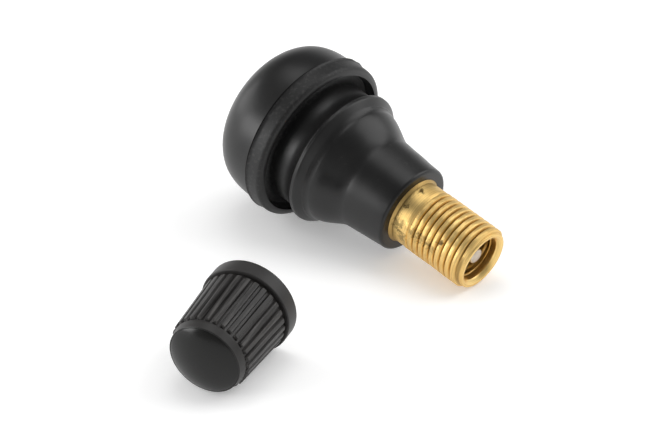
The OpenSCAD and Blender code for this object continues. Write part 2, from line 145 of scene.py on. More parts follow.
# Softboxes: place from the camera's target (right, towards the camera, up), width and height in metres, watts
SOFTBOXES = (("top_softbox", (0.0, -0.05, 0.30), (0.16, 0.16), 0.17),
             ("left_front_softbox", (-0.27, 0.09, 0.07), (0.12, 0.11), 0.24),
             ("left_back_softbox", (-0.25, -0.08, 0.12), (0.20, 0.15), 0.24),
             ("right_softbox", (0.22, -0.05, 0.21), (0.24, 0.24), 0.42))


def axis_frame(mount_name, lead):
    """Matrix of a piece's own frame: its origin at the mouth, Z out of the mouth and X upwards."""
    mount = mounts[mount_name]
    out = Vector(mount["axis"]).normalized()
    mouth = Vector(mount["pos_m"]) + out * (mount["dims"]["length_mm"] / 2 + lead) * MM
    up = Vector((0, 0, 1))
    across = (up - out * up.dot(out)).normalized()
    return Matrix.Translation(mouth) @ Matrix((across, out.cross(across), out)).transposed().to_4x4()


VALVE = axis_frame("stem_thread", MOUTH_CHAMFER)
CAP = axis_frame("cap_bore", CAP_MOUTH_CHAMFER)


def ease(x):
    """Smooth step from 0 to 1."""
    x = min(max(x, 0.0), 1.0)
    return x * x * (3 - 2 * x)


def between(a, b, x):
    return a + (b - a) * x


def corner(at, r, along, out, steps=8):
    """Quarter of an ellipse as stations and radii, with its flat side first."""
    turns = [math.pi / 2 * i / steps for i in range(steps + 1)]
    return [(at + along * (1 - math.cos(a)), r + out * math.sin(a)) for a in turns]


def straight(a, b, steps):
    """Stations and radii of a straight stretch, without its first point."""
    return [tuple(between(p, q, i / steps) for p, q in zip(a, b)) for i in range(1, steps + 1)]


def rounded(points, cut, steps=2):
    """The same outline with a small arc at each inner corner."""
    kept = points[:1]
    for before, point, after in zip(points, points[1:], points[2:]):
        middle = Vector(point)
        start = middle + (Vector(before) - middle).normalized() * cut
        end = middle + (Vector(after) - middle).normalized() * cut
        shares = [i / steps for i in range(steps + 1)]
        kept += [tuple(start.lerp(middle, x).lerp(middle.lerp(end, x), x)) for x in shares]
    return kept + points[-1:]


def without_doubles(points):
    """The same outline without points that lie on the one before."""
    kept = points[:1]
    for point in points[1:]:
        if math.dist(point, kept[-1]) > SAME_POINT:
            kept.append(point)
    return kept


# Modelling

def drawn(name, outline, closed):
    """Draws an outline by extruding a vertex from point to point, and stays in edit mode, all selected."""
    points = [(r * MM, -at * MM) for at, r in without_doubles(outline + outline[:1] if closed else outline)]
    bpy.ops.object.select_all(action="DESELECT")
    bpy.ops.mesh.primitive_plane_add(size=MM)
    piece = bpy.context.object
    piece.name = piece.data.name = name
    bpy.ops.object.mode_set(mode="EDIT")
    bpy.ops.mesh.select_all(action="SELECT")
    bpy.ops.mesh.merge(type="CENTER")
    bpy.ops.transform.translate(value=(points[0][0], 0, points[0][1]))
    for (r0, z0), (r1, z1) in zip(points, points[1:]):
        bpy.ops.mesh.extrude_region_move(TRANSFORM_OT_translate={"value": (r1 - r0, 0, z1 - z0)})
    bpy.ops.mesh.select_all(action="SELECT")
    bpy.ops.mesh.remove_doubles(threshold=MERGE)
    return piece


def turned(name, outline, segments, closed=True):
    """Draws an outline and spins it round the axis."""
    piece = drawn(name, outline, closed)
    bpy.ops.mesh.spin(steps=segments, angle=TURN, center=(0, 0, 0), axis=(0, 0, 1))
    bpy.ops.mesh.select_all(action="SELECT")
    bpy.ops.mesh.remove_doubles(threshold=MERGE)
    bpy.ops.mesh.normals_make_consistent(inside=False)
    bpy.ops.object.mode_set(mode="OBJECT")
    return piece


def reshape(piece, radius_at):
    """Moves each vertex in or out: radius_at takes its station, radius and angle, and gives a new radius."""
    for vertex in piece.data.vertices:
        x, y, z = vertex.co / MM
        r = math.hypot(x, y)
        if r > ON_AXIS:
            scale = radius_at(-z, r, math.atan2(y, x)) / r
            vertex.co.x *= scale
            vertex.co.y *= scale


def finish(piece, place, body, material, node, sharp=35):
    """Puts a piece where it lies, with its place in its mesh, gives it its finish and its body, and hides the
    solid that it stands for.
    """
    bpy.ops.object.select_all(action="DESELECT")
    piece.select_set(True)
    bpy.context.view_layer.objects.active = piece
    piece.matrix_world = place
    bpy.ops.object.transform_apply(location=True, rotation=True, scale=True)
    bpy.ops.object.shade_smooth_by_angle(angle=math.radians(sharp))
    piece.data.materials.clear()
    piece.data.materials.append(material)
    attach(piece, body)
    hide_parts(node)
    return piece


def ripple(angle, station, seed, waves):
    """Seeded unevenness round a ring, from -1 to 1."""
    place = (waves * math.cos(angle), waves * math.sin(angle), station * RIPPLE_DRIFT + seed)
    return noise.noise(Vector(place))


# Shader node groups

def node_group(name, inputs, outputs):
    """An empty group, as (tree, input node, output node). An input whose default is a tuple is a vector."""
    tree = bpy.data.node_groups.new(name, "ShaderNodeTree")
    for label, default in inputs.items():
        kind = "NodeSocketVector" if isinstance(default, tuple) else "NodeSocketFloat"
        tree.interface.new_socket(label, in_out="INPUT", socket_type=kind).default_value = default
    for label in outputs:
        tree.interface.new_socket(label, in_out="OUTPUT", socket_type="NodeSocketFloat")
    return tree, tree.nodes.new("NodeGroupInput"), tree.nodes.new("NodeGroupOutput")


def add(tree, kind, **settings):
    """A new node with its settings; a key that isn't a property is an input's value."""
    new = tree.nodes.new(kind)
    for key, value in settings.items():
        if hasattr(new, key):
            setattr(new, key, value)
        else:
            new.inputs[key.replace("_", " ")].default_value = value
    return new


def link(tree, *pairs):
    for out, into in pairs:
        tree.links.new(out, into)


def own_axes(tree, place):
    """Coordinates in a lying piece's own frame, in metres, with Z along its axis."""
    coords = add(tree, "ShaderNodeTexCoord")
    mapping = add(tree, "ShaderNodeMapping", vector_type="TEXTURE")
    mapping.inputs["Location"].default_value = place.to_translation()
    mapping.inputs["Rotation"].default_value = place.to_euler()
    link(tree, (coords.outputs["Object"], mapping.inputs["Vector"]))
    return mapping.outputs["Vector"]


def mixed(tree, factor, a, b):
    """Colour that goes from a to b with the factor. Either may be a colour or an output."""
    mix = add(tree, "ShaderNodeMix", data_type="RGBA")
    link(tree, (factor, mix.inputs["Factor"]))
    for socket, value in ((mix.inputs["A"], a), (mix.inputs["B"], b)):
        if isinstance(value, bpy.types.NodeSocket):
            link(tree, (value, socket))
        else:
            socket.default_value = (*value, 1.0)
    return mix.outputs["Result"]


def ranged(tree, value, low, high, start=0.0, end=1.0):
    """The value, moved from start..end to low..high."""
    node = add(tree, "ShaderNodeMapRange")
    for label, number in (("From Min", start), ("From Max", end), ("To Min", low), ("To Max", high)):
        node.inputs[label].default_value = number
    link(tree, (value, node.inputs["Value"]))
    return node.outputs["Result"]


def paired(tree, operation, a, b):
    """What a Math node makes of two outputs."""
    node = add(tree, "ShaderNodeMath", operation=operation)
    link(tree, (a, node.inputs[0]), (b, node.inputs[1]))
    return node.outputs["Value"]


def product(tree, a, b):
    return paired(tree, "MULTIPLY", a, b)


def larger(tree, a, b):
    return paired(tree, "MAXIMUM", a, b)


def make_grain():
    """Fine moulded or cast surface: a height for bump and a tone that changes over larger patches."""
    scales = {"Scale": 4000.0, "Patch Scale": 160.0}
    tree, given, result = node_group("surface_grain", scales, ["Height", "Patches"])
    place = add(tree, "ShaderNodeTexCoord").outputs["Object"]
    fine = add(tree, "ShaderNodeTexNoise", Detail=3.0, Roughness=0.6)
    patches = add(tree, "ShaderNodeTexNoise", Detail=4.0, Roughness=0.55)
    link(tree, (place, fine.inputs["Vector"]), (given.outputs["Scale"], fine.inputs["Scale"]),
         (place, patches.inputs["Vector"]), (given.outputs["Patch Scale"], patches.inputs["Scale"]),
         (fine.outputs["Fac"], result.inputs["Height"]),
         (ranged(tree, patches.outputs["Fac"], 0.0, 1.0, 0.32, 0.68), result.inputs["Patches"]))
    return tree


def make_specks():
    """Small separate marks, such as dust or pits, as a mask."""
    tree, given, result = node_group("specks", {"Scale": 700.0, "Least": 0.68, "Most": 0.74}, ["Mask"])
    place = add(tree, "ShaderNodeTexCoord").outputs["Object"]
    marks = add(tree, "ShaderNodeTexNoise", Detail=2.0, Roughness=0.5)
    cut = add(tree, "ShaderNodeMapRange")
    link(tree, (place, marks.inputs["Vector"]), (given.outputs["Scale"], marks.inputs["Scale"]),
         (marks.outputs["Fac"], cut.inputs["Value"]), (given.outputs["Least"], cut.inputs["From Min"]),
         (given.outputs["Most"], cut.inputs["From Max"]), (cut.outputs["Result"], result.inputs["Mask"]))
    return tree


def make_stain():
    """One ragged stain round a centre, as a mask."""
    spot = {"Place": (0, 0, 0), "Centre": (0, 0, 0), "Radius": MM}
    tree, given, result = node_group("stain", spot, ["Mask"])
    rag = add(tree, "ShaderNodeTexNoise", Scale=2600.0, Detail=4.0, Roughness=0.6)
    away = add(tree, "ShaderNodeVectorMath", operation="DISTANCE")
    link(tree, (given.outputs["Place"], rag.inputs["Vector"]), (given.outputs["Place"], away.inputs[0]),
         (given.outputs["Centre"], away.inputs[1]))
    share = paired(tree, "DIVIDE", away.outputs["Value"], given.outputs["Radius"])
    reach = paired(tree, "ADD", share, ranged(tree, rag.outputs["Fac"], -0.9, 0.9, 0.3, 0.7))
    link(tree, (ranged(tree, reach, 1.0, 0.0, 0.3, 1.1), result.inputs["Mask"]))
    return tree


GRAIN = make_grain()
SPECKS = make_specks()
STAIN = make_stain()


def new_material(name):
    """A material with its Principled shader, as (material, tree, shader)."""
    material = bpy.data.materials.new(name)
    material.use_nodes = True
    return material, material.node_tree, material.node_tree.nodes["Principled BSDF"]


def use_group(tree, group, **values):
    new = add(tree, "ShaderNodeGroup")
    new.node_tree = group
    for label, value in values.items():
        new.inputs[label.replace("_", " ")].default_value = value
    return new


def bumped(tree, shader, height, strength, distance):
    bump = add(tree, "ShaderNodeBump", Strength=strength, Distance=distance)
    link(tree, (height, bump.inputs["Height"]), (bump.outputs["Normal"], shader.inputs["Normal"]))


def blended(tree, factor, a, b):
    """Value that goes from the output a to the number b with the factor."""
    mix = add(tree, "ShaderNodeMix", data_type="FLOAT", B=b)
    link(tree, (factor, mix.inputs["Factor"]), (a, mix.inputs["A"]))
    return mix.outputs["Result"]


def station_of(tree, own):
    """Distance from the mouth along the axis, in millimetres."""
    reach = 100.0
    parts = add(tree, "ShaderNodeSeparateXYZ")
    link(tree, (own, parts.inputs["Vector"]))
    return ranged(tree, parts.outputs["Z"], 0.0, reach, 0.0, -reach * MM)


def radius_of(tree, own):
    """Distance from the axis, in millimetres."""
    flat = add(tree, "ShaderNodeVectorMath", operation="MULTIPLY")
    flat.inputs[1].default_value = (1 / MM, 1 / MM, 0)
    length = add(tree, "ShaderNodeVectorMath", operation="LENGTH")
    link(tree, (own, flat.inputs[0]), (flat.outputs["Vector"], length.inputs[0]))
    return length.outputs["Value"]


def window(tree, value, start, end, soft=0.08):
    """1 where the value is between start and end, with soft edges."""
    rise = ranged(tree, value, 0.0, 1.0, start - soft, start)
    return product(tree, rise, ranged(tree, value, 1.0, 0.0, end, end + soft))


def streaked(tree, own, stretch, scale):
    """Noise that is drawn out along some of a piece's own axes."""
    mapping = add(tree, "ShaderNodeMapping", vector_type="POINT")
    mapping.inputs["Scale"].default_value = stretch
    streaks = add(tree, "ShaderNodeTexNoise", Scale=scale, Detail=2.0)
    link(tree, (own, mapping.inputs["Vector"]), (mapping.outputs["Vector"], streaks.inputs["Vector"]))
    return streaks.outputs["Fac"]


def lathe_lines(tree, own):
    """Fine rings that a cutting tool leaves round the axis, on faces as well as round the outside."""
    place = add(tree, "ShaderNodeCombineXYZ")
    lines = add(tree, "ShaderNodeTexNoise", Scale=5.0, Detail=3.0, Roughness=0.6)
    link(tree, (radius_of(tree, own), place.inputs["X"]), (station_of(tree, own), place.inputs["Y"]),
         (place.outputs["Vector"], lines.inputs["Vector"]))
    return lines.outputs["Fac"]


# Finishes

def make_body_rubber():
    """Black rubber: patchy gloss, a fine skin, a little dust, and a scuffed rim up to the parting line."""
    material, tree, shader = new_material("body_rubber")
    station = station_of(tree, own_axes(tree, VALVE))
    scuffed_from, scuffed_gloss = HEAD_AT + 0.2, 0.5
    skin = use_group(tree, GRAIN, Scale=5200.0, Patch_Scale=170.0)
    patches = skin.outputs["Patches"]
    rim = window(tree, station, scuffed_from, PARTING_AT)
    dust = use_group(tree, SPECKS, Scale=900.0, Least=0.72, Most=0.80).outputs["Mask"]
    scuffs = use_group(tree, SPECKS, Scale=2600.0, Least=0.52, Most=0.72).outputs["Mask"]
    tone = mixed(tree, patches, (0.006, 0.006, 0.0062), (0.010, 0.0098, 0.0096))
    tone = mixed(tree, product(tree, dust, patches), tone, (0.035, 0.034, 0.033))
    tone = mixed(tree, product(tree, scuffs, rim), tone, (0.026, 0.0255, 0.025))
    gloss = blended(tree, rim, ranged(tree, patches, 0.32, 0.40), scuffed_gloss)
    link(tree, (tone, shader.inputs["Base Color"]), (gloss, shader.inputs["Roughness"]))
    shader.inputs["Specular IOR Level"].default_value = 0.4
    bumped(tree, shader, skin.outputs["Height"], strength=0.12, distance=0.02 * MM)
    return material


def make_cap_plastic():
    """Grey-black plastic: streaks along the ribs and a smooth dome, made darker by painted shade."""
    material, tree, shader = new_material("cap_plastic")
    own = own_axes(tree, CAP)
    station = station_of(tree, own)
    dome_gloss = 0.22
    skin = use_group(tree, GRAIN, Scale=3600.0, Patch_Scale=170.0)
    patches = skin.outputs["Patches"]
    ribs = window(tree, station, RIB_AT, RIB_END_AT)
    dome = window(tree, station, CAP_DOME_AT, 2 * CAP_L)
    streaks = ranged(tree, streaked(tree, own, (1.0, 1.0, 0.03), 3200.0), 0.0, 1.0, 0.45, 0.7)
    tone = mixed(tree, patches, (0.020, 0.0188, 0.018), (0.032, 0.030, 0.029))
    tone = mixed(tree, product(tree, streaks, ribs), tone, (0.080, 0.0765, 0.074))
    # Painted shade: the dome gets a darker tone than the rest of the cap
    tone = mixed(tree, dome, tone, (0.004, 0.004, 0.0034))
    gloss = blended(tree, dome, ranged(tree, patches, 0.36, 0.48), dome_gloss)
    link(tree, (tone, shader.inputs["Base Color"]), (gloss, shader.inputs["Roughness"]))
    shader.inputs["Specular IOR Level"].default_value = 0.3
    bumped(tree, shader, skin.outputs["Height"], strength=0.2, distance=0.02 * MM)
    return material


def make_polymer(name, dark, pale, roughness):
    """Soft or hard polymer inside the valve: patchy tone and gloss and a fine skin."""
    material, tree, shader = new_material(name)
    skin = use_group(tree, GRAIN, Scale=4000.0, Patch_Scale=170.0)
    patches = skin.outputs["Patches"]
    link(tree, (mixed(tree, patches, dark, pale), shader.inputs["Base Color"]),
         (ranged(tree, patches, *roughness), shader.inputs["Roughness"]))
    bumped(tree, shader, skin.outputs["Height"], strength=0.1, distance=0.02 * MM)
    return material


def make_metal(name, bright, stain, roughness):
    """Turned metal, ringed by the tool and patchy, as (material, tree, shader, colour, gloss)."""
    material, tree, shader = new_material(name)
    rings = lathe_lines(tree, own_axes(tree, VALVE))
    patches = use_group(tree, GRAIN, Scale=2600.0, Patch_Scale=330.0).outputs["Patches"]
    tone = mixed(tree, ranged(tree, patches, 0.0, 0.5), bright, stain)
    tone = mixed(tree, ranged(tree, rings, 0.0, 0.6, 0.45, 0.7), tone, [0.6 * c for c in stain])
    gloss = ranged(tree, patches, *roughness)
    link(tree, (tone, shader.inputs["Base Color"]), (gloss, shader.inputs["Roughness"]))
    shader.inputs["Metallic"].default_value = 1.0
    bumped(tree, shader, rings, strength=0.4, distance=0.01 * MM)
    return material, tree, shader, tone, gloss


def make_stem_brass():
    """Yellow brass with dirt and painted shade in the thread, painted shade in the bore, darker by the
    collar, ragged stains and a dull chamfer.
    """
    bright, dull = (0.92, 0.66, 0.26), (0.72, 0.45, 0.14)
    # Dark tone for dirt and painted shade, and the tone of the stains
    dirt_and_shade_tone, blot_tone = (0.16, 0.09, 0.025), (0.05, 0.028, 0.01)
    # How dark the grooves (dirt and painted shade), the bore (painted shade) and the edge by the collar get
    groove_dirt_and_shade, bore_shade, collar_darkening = 0.5, 0.8, 0.55
    # Stations over which the painted shade in the bore deepens
    unshaded_to, shaded_from = 1.0, 2.4
    chamfer_gloss, bore_gloss = 0.55, 0.32
    material, tree, shader, tone, gloss = make_metal("stem_brass", bright, dull, (0.40, 0.54))
    own = own_axes(tree, VALVE)
    station, radius = station_of(tree, own), radius_of(tree, own)
    groove = product(tree, window(tree, radius, THREAD_ROOT_R - 0.1, THREAD_ROOT_R + 0.02, soft=0.18),
                     window(tree, station, MOUTH_CHAMFER, THREAD_L))
    bore = window(tree, radius, 0.0, BORE_R + 0.02, soft=0.03)
    depth = ranged(tree, station, 0.0, bore_shade, unshaded_to, shaded_from)
    collar = window(tree, station, TAIL_AT - COLLAR_W, TAIL_AT, soft=0.15)
    # Dirt and painted shade darken the thread's grooves
    tone = mixed(tree, ranged(tree, groove, 0.0, groove_dirt_and_shade), tone, dirt_and_shade_tone)
    # Painted shade darkens the bore, more deeply inside
    tone = mixed(tree, product(tree, bore, depth), tone, dirt_and_shade_tone)
    # The brass is darker next to the collar
    tone = mixed(tree, ranged(tree, collar, 0.0, collar_darkening), tone, dirt_and_shade_tone)
    for at, angle, size, strength in BRASS_STAINS:
        turn = math.radians(angle)
        centre = Vector((BAND_R * math.cos(turn), BAND_R * math.sin(turn), -at)) * MM
        blot = use_group(tree, STAIN, Radius=size * MM, Centre=centre)
        link(tree, (own, blot.inputs["Place"]))
        tone = mixed(tree, ranged(tree, blot.outputs["Mask"], 0.0, strength), tone, blot_tone)
    mouth = window(tree, station, 0.0, MOUTH_CHAMFER)
    chamfer = product(tree, mouth, window(tree, radius, THREAD_ROOT_R, 2 * THREAD_R))
    inside = window(tree, radius, 0.0, BORE_R + BORE_CHAMFER, soft=0.03)
    gloss = blended(tree, inside, blended(tree, chamfer, gloss, chamfer_gloss), bore_gloss)
    link(tree, (tone, shader.inputs["Base Color"]), (gloss, shader.inputs["Roughness"]))
    return material


BODY_RUBBER = make_body_rubber()
CAP_PLASTIC = make_cap_plastic()
SEAL_RUBBER = make_polymer("seal_rubber", (0.01, 0.01, 0.011), (0.018, 0.018, 0.019), (0.5, 0.65))
GASKET = make_polymer("gasket_polymer", (0.33, 0.03, 0.022), (0.42, 0.05, 0.035), (0.4, 0.5))
STEM_BRASS = make_stem_brass()
CORE_BRASS = make_metal("core_brass", (0.74, 0.58, 0.32), (0.50, 0.36, 0.17), (0.25, 0.4))[0]
PIN_STEEL = make_metal("pin_steel", (0.72, 0.64, 0.55), (0.62, 0.54, 0.46), (0.4, 0.5))[0]
SPRING_STEEL = make_metal("spring_steel", (0.66, 0.67, 0.69), (0.5, 0.5, 0.5), (0.25, 0.35))[0]


# Rubber body

def buried_outline():
    """Outside of the stem inside the rubber, from the collar to the foot."""
    shank_at = TAIL_AT + COLLAR_W
    foot_at = STEM_END_AT - FOOT_L
    groove_r = SHANK_R - KEY_DEPTH
    points = [(TAIL_AT, COLLAR_R), (shank_at, COLLAR_R), (shank_at, SHANK_R)]
    for i in range(KEY_GROOVES):
        at = KEY_AT + i * KEY_PITCH
        end = at + KEY_W
        points += [(at, SHANK_R), (at, groove_r), (end, groove_r), (end, SHANK_R)]
    return points + [(foot_at - (FOOT_R - SHANK_R), SHANK_R), (foot_at, FOOT_R), (STEM_END_AT, FOOT_R)]


def rubber_outline():
    """Outside of the rubber, from its end on the stem to the air hole in the base."""
    fine = 40
    shares = [i / fine for i in range(fine + 1)]
    # The rounded lip takes the place of the flare's last steps and of the first steps of its own back
    flare_cut, back_cut = 6, 12
    shoulder_at, floor_at = LIP_AT - LIP_FRONT, HEAD_AT + DISH_DEPTH
    floor_r = DISH_R - DISH_WALL
    flare = [(between(WAIST_AT, shoulder_at, x), between(WAIST_R, SHOULDER_R, ease(x))) for x in shares]
    back = [(LIP_AT + LIP_BACK * x, between(NECK_R, LIP_CORNER_R, (1 - x) ** 2)) for x in shares[back_cut::2]]
    lip = rounded([flare[-flare_cut], flare[-1], (LIP_AT, LIP_CORNER_R), back[0]], LIP_ROUND, 10)
    dish = [(between(FILLET_AT, floor_at, math.sin(math.pi / 2 * x)),
             between(floor_r, NECK_R, math.cos(math.pi / 2 * x))) for x in shares]
    rim_end = (HEAD_AT + HEAD_RIM_ROUND, HEAD_RIM_R)
    flash_foot, flash_tip = (PARTING_AT - FLASH, PARTING_R - FLASH), (PARTING_AT, PARTING_R)
    dome_at = PARTING_AT + FLASH
    crease_r = DOME_R - CREASE_DEPTH
    crease = [(dome_at, DOME_R), (dome_at + CREASE_W / 3, crease_r), (dome_at + CREASE_W, DOME_R)]
    last = math.acos(AIR_HOLE_R / DOME_R)
    dome = [(between(dome_at, VALVE_L, math.sin(last * x) ** (2 / DOME_POWER)),
             DOME_R * math.cos(last * x)) for x in shares]
    tail = corner(TAIL_AT, TAIL_R - TAIL_ROUND, TAIL_ROUND, TAIL_ROUND)
    return (tail + straight(tail[-1], flare[0], 12) + flare[:-flare_cut] + lip + back[1:]
            + straight(back[-1], dish[0], 4) + dish
            + corner(HEAD_AT, DISH_R, HEAD_RIM_ROUND, HEAD_RIM_R - DISH_R) + straight(rim_end, flash_foot, 6)
            + straight(flash_foot, flash_tip, 3) + straight(flash_tip, dome[0], 3)
            + crease + straight(crease[-1], dome[1], 6) + dome[2:])


def nearness(at, place, reach):
    """1 at a place along the axis, falling to 0 at its reach."""
    return max(0.0, 1 - abs(at - place) / reach)


def uneven_rubber(at, r, angle):
    """Radius of the moulded skin: ragged flash on the parting line and the lip, a seam and faint waves."""
    if r < TAIL_R - TAIL_ROUND or (at > STEM_END_AT and r < 2 * AIR_HOLE_R):
        return r
    seam = SEAM_H * max(0.0, ripple(angle, 0.0, seed=5.0, waves=1.1) + SEAM_SHARE)
    r -= SKIN_WAVE * (1 + ripple(angle, at, seed=3.0, waves=1.5))
    r -= nearness(at, PARTING_AT, FLASH) * FLASH_RAG * (1 + ripple(angle, 0.0, seed=7.0, waves=7.0))
    r += nearness(at, SEAM_AT, SEAM_W) * seam * (1 + ripple(angle, 0.0, seed=9.0, waves=12.0))
    return r - nearness(at, LIP_AT, LIP_RAG_W) * LIP_RAG * (1 + ripple(angle, 0.0, seed=11.0, waves=9.0))


def make_rubber_body():
    cavity = [(at, r + BOND) for at, r in buried_outline()]
    outline = rubber_outline() + [(STEM_END_AT, AIR_HOLE_R)] + cavity[::-1]
    piece = turned("moulded_body", outline, 192)
    reshape(piece, uneven_rubber)
    return finish(piece, VALVE, "valve", BODY_RUBBER, "rubber_body")


# Stem

def thread_height(turns, flat):
    """Height of a thread from 0 at its root to 1 at its crest, with a flat share at the crest."""
    slope = 1 - abs(2 * (turns % 1.0) - 1)
    return min(1.0, slope / (1 - flat))


def core_threaded(at, r, angle):
    """Radius of the stem's bore with the first turns of the core's thread."""
    if abs(r - BORE_R) < SAME_WALL and BORE_THREAD_FROM < at < BORE_THREAD_TO:
        return between(BORE_R, BORE_THREAD_R, thread_height(at / BORE_PITCH + angle / TURN, BORE_CREST))
    return r


def make_ridge(segments):
    """The outside thread: one ridge swept along a screw line, sunk into the root and faded at both ends."""
    turns = (THREAD_L - RIDGE_FROM) / THREAD_PITCH
    low, crest, foot = THREAD_ROOT_R - RIDGE_SUNK, THREAD_CREST / 2, RIDGE_FILL * THREAD_PITCH / 2
    flank = rounded([(-foot, THREAD_ROOT_R), (-crest, THREAD_R), (0.0, THREAD_R)], EDGE)
    section = [(-foot, low)] + flank + [(-at, r) for at, r in flank[-2::-1]] + [(foot, low)]
    piece = drawn("thread_ridge", [(THREAD_L + at, r) for at, r in section], True)
    bpy.ops.object.mode_set(mode="OBJECT")
    sweep = piece.modifiers.new("thread", "SCREW")
    sweep.angle = turns * TURN
    sweep.screw_offset = turns * THREAD_PITCH * MM
    sweep.steps = sweep.render_steps = round(turns * segments)
    bpy.ops.object.modifier_apply(modifier=sweep.name)
    for vertex in piece.data.vertices:
        passed = vertex.index // len(section) / segments
        height = ease(RISE_PER_TURN * passed) * ease(FALL_PER_TURN * (turns - passed))
        r, angle = math.hypot(vertex.co.x, vertex.co.y), math.atan2(vertex.co.y, vertex.co.x)
        wear = max(0.0, ripple(angle, -vertex.co.z / MM, seed=13.0, waves=5.0))
        height *= 1 - wear * CREST_WEAR / (THREAD_R - low)
        chamfer_r = (THREAD_R - MOUTH_CHAMFER) * MM - vertex.co.z
        scale = min(between(low * MM, r, height), max(chamfer_r, low * MM)) / r
        vertex.co.x *= scale
        vertex.co.y *= scale
    bpy.ops.object.mode_set(mode="EDIT")
    bpy.ops.mesh.select_all(action="SELECT")
    bpy.ops.mesh.fill_holes(sides=0)
    bpy.ops.mesh.select_all(action="SELECT")
    bpy.ops.mesh.normals_make_consistent(inside=False)
    bpy.ops.mesh.remove_doubles(threshold=MERGE)
    bpy.ops.object.mode_set(mode="OBJECT")
    return piece


def make_stem():
    segments = 144
    mouth = rounded([(BORE_FINE_FROM, BORE_R), (BORE_CHAMFER, BORE_R), (0, BORE_R + BORE_CHAMFER),
                     (0, THREAD_R - MOUTH_CHAMFER), (MOUTH_CHAMFER - THREAD_R + THREAD_ROOT_R, THREAD_ROOT_R),
                     (THREAD_L - RUNOUT_L, THREAD_ROOT_R)], EDGE)
    shares = [i / 10 for i in range(1, 11)]
    outside = [(THREAD_L - RUNOUT_L * (1 - x), between(THREAD_ROOT_R, BAND_R, ease(x))) for x in shares]
    outside += [(TAIL_AT - COLLAR_W, BAND_R)]
    bore = straight(mouth[0], (BORE_FINE_TO, BORE_R), 60)
    bore += [(BORE_L, BORE_R), (BORE_L + BORE_R - CHAMBER_R, CHAMBER_R), (SEAT_AT, CHAMBER_R),
             (SEAT_AT + SEAT_L, THROAT_R), (THROAT_END_AT, THROAT_R),
             (THROAT_END_AT + THROAT_R - EXIT_R, EXIT_R), (STEM_END_AT, EXIT_R)]
    ridge = make_ridge(segments)
    piece = turned("threaded_stem", mouth + outside + buried_outline() + bore[::-1], segments)
    reshape(piece, core_threaded)
    ridge.select_set(True)
    bpy.ops.object.join()
    return finish(piece, VALVE, "valve", STEM_BRASS, "stem")


# Valve core

def make_pin():
    head_end = PIN_TIP_AT + PIN_HEAD_L
    crown = [(PIN_TIP_AT, 0.0)] + corner(PIN_TIP_AT, PIN_HEAD_R - PIN_ROUND, PIN_ROUND, PIN_ROUND)
    outline = crown + [(head_end, PIN_HEAD_R), (head_end, PIN_R), (PIN_END_AT, PIN_R), (PIN_END_AT, RIVET_R)]
    outline += [(PIN_END_AT + RIVET_L, PIN_R), (PIN_END_AT + RIVET_L, 0.0)]
    piece = turned("sprung_pin", outline, 64, closed=False)
    return finish(piece, VALVE, "pin", PIN_STEEL, "core_pin")


def make_spring():
    """One ring of wire beside the axis, swept along a screw line and closed at both ends."""
    wire_sides, steps_per_turn = 12, 28
    length = SPRING_TO - SPRING_FROM - 2 * WIRE_R
    bpy.ops.object.select_all(action="DESELECT")
    bpy.ops.mesh.primitive_circle_add(vertices=wire_sides, radius=WIRE_R * MM, rotation=(math.pi / 2, 0, 0),
                                      location=(SPRING_R * MM, 0, -(SPRING_TO - WIRE_R) * MM))
    piece = bpy.context.object
    piece.name = piece.data.name = "coiled_spring"
    bpy.ops.object.transform_apply(location=True, rotation=True, scale=True)
    sweep = piece.modifiers.new("coil", "SCREW")
    sweep.angle = TURN
    sweep.screw_offset = length / SPRING_TURNS * MM
    sweep.iterations = SPRING_TURNS
    sweep.steps = sweep.render_steps = steps_per_turn
    bpy.ops.object.modifier_apply(modifier=sweep.name)
    bpy.ops.object.mode_set(mode="EDIT")
    bpy.ops.mesh.select_all(action="SELECT")
    bpy.ops.mesh.remove_doubles(threshold=MERGE)
    bpy.ops.mesh.fill_holes(sides=0)
    bpy.ops.mesh.select_all(action="SELECT")
    bpy.ops.mesh.normals_make_consistent(inside=False)
    bpy.ops.object.mode_set(mode="OBJECT")
    finish(piece, VALVE, "valve", SPRING_STEEL, "return_spring", sharp=50)
    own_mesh(piece)
    return piece


# Dust cap

def rib_share(at, angle):
    """How far a point is up a rib, from 0 in the groove to 1 on the rib, with soft edges and ends."""
    pitch = TURN / RIBS
    off = abs((angle + pitch / 2) % pitch - pitch / 2) * RIB_R
    ends = ease((at - RIB_AT) / RIB_SOFT) * ease((RIB_END_AT - at) / RIB_SOFT)
    return ends * (1 - ease((off - RIB_W / 2 + RIB_EDGE / 2) / RIB_EDGE))


def ribbed_cap(at, r, angle):
    """Radius of the cap with its ribs outside and its thread inside."""
    on_barrel = CAP_FLANGE_W <= at <= RIB_END_AT + SAME_WALL
    root = between(RIB_R, RIB_END_R, (at - CAP_FLANGE_W) / (RIB_END_AT - CAP_FLANGE_W)) - RIB_H
    if on_barrel and abs(r - root) < SAME_WALL:
        return root + RIB_H * rib_share(at, angle)
    if abs(r - CAP_BORE_R) < SAME_WALL and CAP_THREAD_FROM < at < CAP_THREAD_TO:
        ends = ease((at - CAP_THREAD_FROM) / CAP_THREAD_FADE) * ease((CAP_THREAD_TO - at) / CAP_THREAD_FADE)
        turn = thread_height(at / THREAD_PITCH + angle / TURN, CAP_THREAD_CREST)
        return between(CAP_BORE_R, CAP_THREAD_R, ends * turn)
    return r


def dome_height(share, steepness):
    """Share of the dome's height at a share of its radius: nearly a part of a ball, with a fuller edge."""
    ellipse = math.sqrt(1 - share * share)
    ball_r = (1 + steepness ** 2) / (2 * steepness)
    ball = (math.sqrt(ball_r ** 2 - share * share) - ball_r) / steepness + 1
    return between(ellipse, ball, CAP_DOME_BALL)


